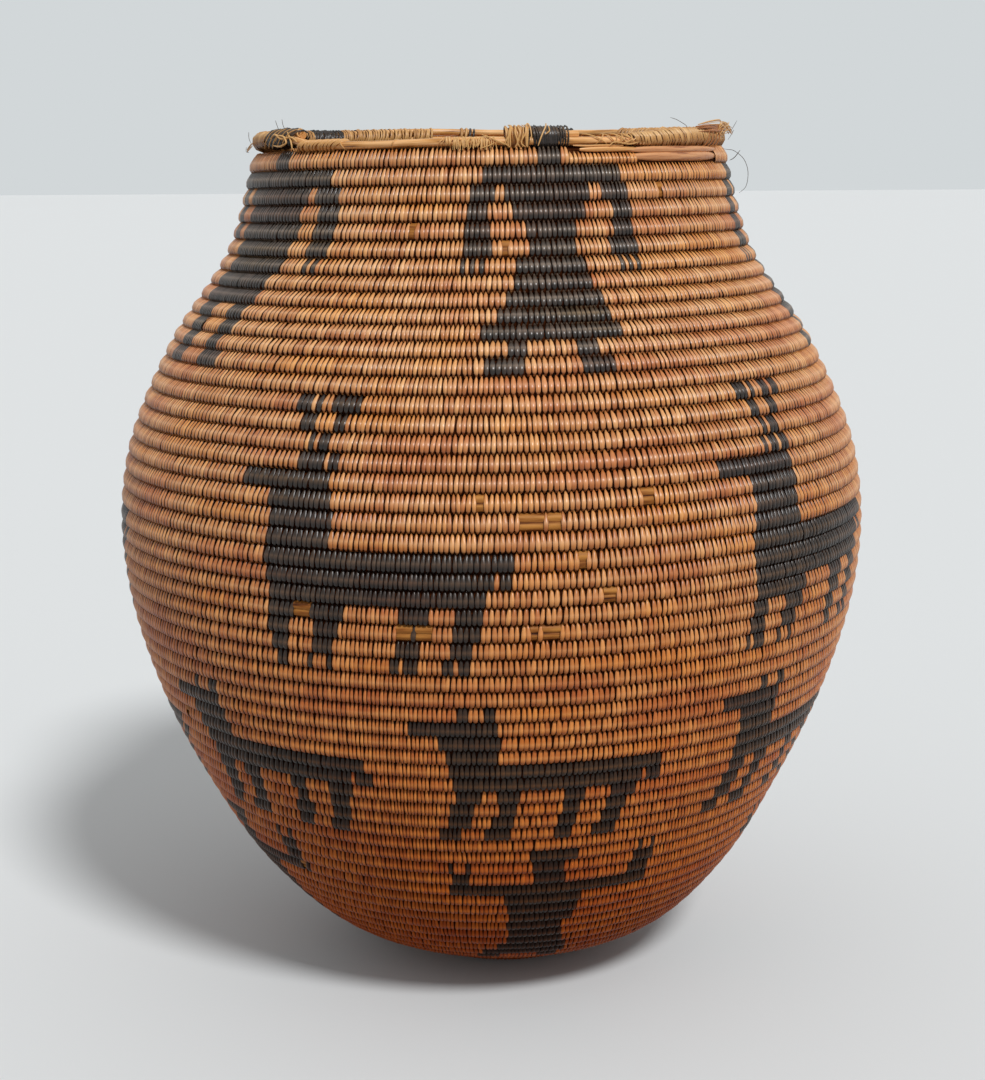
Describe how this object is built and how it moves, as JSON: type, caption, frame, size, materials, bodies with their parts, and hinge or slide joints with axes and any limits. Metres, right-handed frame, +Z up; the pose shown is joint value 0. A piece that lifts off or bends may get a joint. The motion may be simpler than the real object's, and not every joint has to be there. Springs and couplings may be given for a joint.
{
  "type": "olla basket",
  "caption": "Coiled olla-shaped storage basket on a three-rod foundation, round-bellied with a short neck, open mouth, worn bound rim and small flat foot.",
  "frame": {"origin": "centre of the flat foot, on the surface that the basket stands on", "axes": "+Z up along the basket's axis, -Y towards the front that the picture shows, +X to the right of that front"},
  "size_m": [0.265, 0.265, 0.3013],
  "materials": {
    "wall_splint": "worn satin, split willow sewing strips",
    "base_splint": "worn matt, darkened willow sewing strips",
    "willow_rod": "smooth peeled rod",
    "rim_splint": "pale frayed binding strips",
    "black_splint": "satin, black devil's claw strips"
  },
  "bodies": {
    "root": {"base_coil_01": "base_splint", "base_coil_02": "base_splint", "base_coil_03": "base_splint", "rim_binding_01": "black_splint", "rim_binding_02": "rim_splint", "rim_binding_03": "rim_splint", "rim_binding_04": "rim_splint", "rim_binding_05": "black_splint", "rim_binding_06": "rim_splint", "rim_binding_07": "rim_splint", "rim_binding_08": "rim_splint", "rim_binding_09": "rim_splint", "rim_rod_inner": "willow_rod", "rim_rod_outer": "willow_rod", "rim_rod_top": "willow_rod", "rim_rod_top_left": "willow_rod", "rim_rod_top_stub": "willow_rod", "start_knot": "base_splint", "wall_coil_01": "wall_splint", "wall_coil_02": "wall_splint", "wall_coil_03": "wall_splint", "wall_coil_04": "wall_splint", "wall_coil_05": "wall_splint", "wall_coil_06": "wall_splint", "wall_coil_07": "wall_splint", "wall_coil_08": "wall_splint", "wall_coil_09": "wall_splint", "wall_coil_10": "wall_splint", "wall_coil_11": "wall_splint", "wall_coil_12": "wall_splint", "wall_coil_13": "wall_splint", "wall_coil_14": "wall_splint", "wall_coil_15": "wall_splint", "wall_coil_16": "wall_splint", "wall_coil_17": "wall_splint", "wall_coil_18": "wall_splint", "wall_coil_19": "wall_splint", "wall_coil_20": "wall_splint", "wall_coil_21": "wall_splint", "wall_coil_22": "wall_splint", "wall_coil_23": "wall_splint", "wall_coil_24": "wall_splint", "wall_coil_25": "wall_splint", "wall_coil_26": "wall_splint", "wall_coil_27": "wall_splint", "wall_coil_28": "wall_splint", "wall_coil_29": "wall_splint", "wall_coil_30": "wall_splint"}
  },
  "joints": []
}
